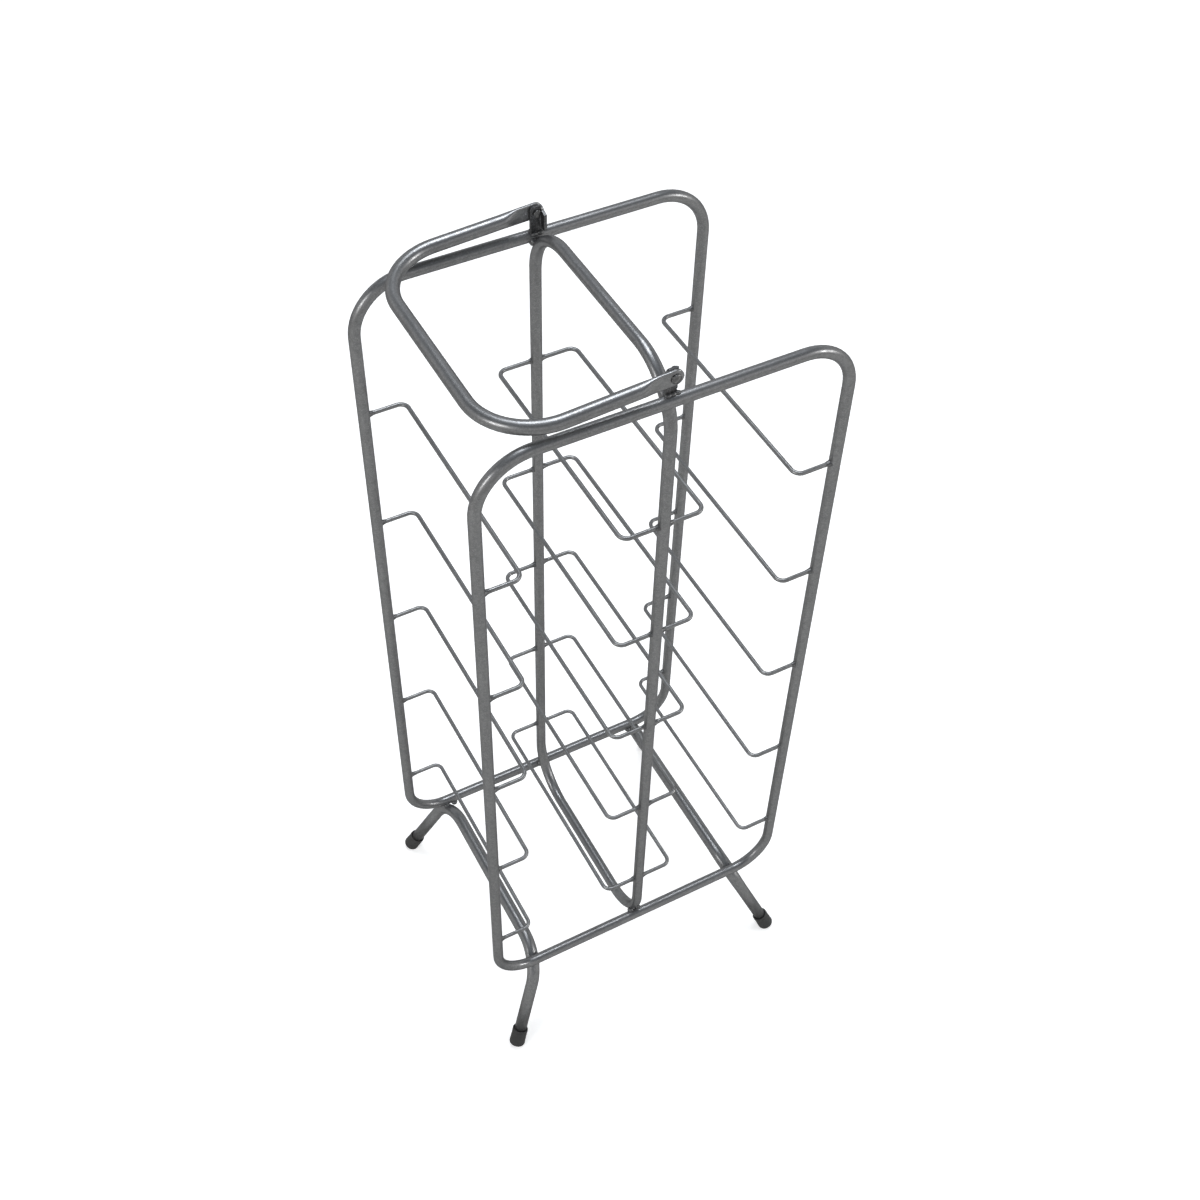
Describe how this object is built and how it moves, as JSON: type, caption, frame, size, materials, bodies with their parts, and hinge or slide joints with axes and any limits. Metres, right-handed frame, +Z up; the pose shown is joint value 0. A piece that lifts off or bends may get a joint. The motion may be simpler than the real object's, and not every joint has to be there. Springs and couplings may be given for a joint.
{
  "type": "bottle rack",
  "caption": "Freestanding bottle rack of bent steel tube with wire cradles, splayed legs on rubber feet and a folding carrying handle.",
  "frame": {"origin": "on the floor, under the middle of the rack", "axes": "+X to the right along the front, +Y from the front loop to the back loop, +Z up"},
  "size_m": [0.258, 0.2302, 0.667],
  "materials": {
    "tube_lacquer": "satin graphite metallic lacquer on steel tube",
    "wire_lacquer": "satin graphite metallic lacquer on steel wire",
    "bracket_steel": "dark graphite lacquer on pressed sheet",
    "rivet_steel": "darkened steel, slightly worn",
    "foot_rubber": "matt black moulded rubber"
  },
  "bodies": {
    "rack": {"front_frame": "tube_lacquer", "back_frame": "tube_lacquer", "centre_frame": "tube_lacquer", "foot_rail_left": "tube_lacquer", "foot_rail_right": "tube_lacquer", "foot_cap_front_left": "foot_rubber", "foot_cap_front_right": "foot_rubber", "foot_cap_back_left": "foot_rubber", "foot_cap_back_right": "foot_rubber", "cradle_left_outer_1": "wire_lacquer", "cradle_left_outer_2": "wire_lacquer", "cradle_left_outer_3": "wire_lacquer", "cradle_left_outer_4": "wire_lacquer", "cradle_left_outer_5": "wire_lacquer", "cradle_left_inner_1": "wire_lacquer", "cradle_left_inner_2": "wire_lacquer", "cradle_left_inner_3": "wire_lacquer", "cradle_left_inner_4": "wire_lacquer", "cradle_left_inner_5": "wire_lacquer", "cradle_right_outer_1": "wire_lacquer", "cradle_right_outer_2": "wire_lacquer", "cradle_right_outer_3": "wire_lacquer", "cradle_right_outer_4": "wire_lacquer", "cradle_right_outer_5": "wire_lacquer", "cradle_right_inner_1": "wire_lacquer", "cradle_right_inner_2": "wire_lacquer", "cradle_right_inner_3": "wire_lacquer", "cradle_right_inner_4": "wire_lacquer", "cradle_right_inner_5": "wire_lacquer", "bracket_front": "bracket_steel", "bracket_back": "bracket_steel", "rivet_front": "rivet_steel", "rivet_back": "rivet_steel"},
    "handle": {"handle": "tube_lacquer"}
  },
  "joints": [
    {"name": "handle_fold", "type": "hinge", "parent": "rack", "child": "handle", "pos_m": [0, 0, 0.6615], "axis": [0, 1, 0], "range_deg": [-2.79, 189.61]}
  ]
}
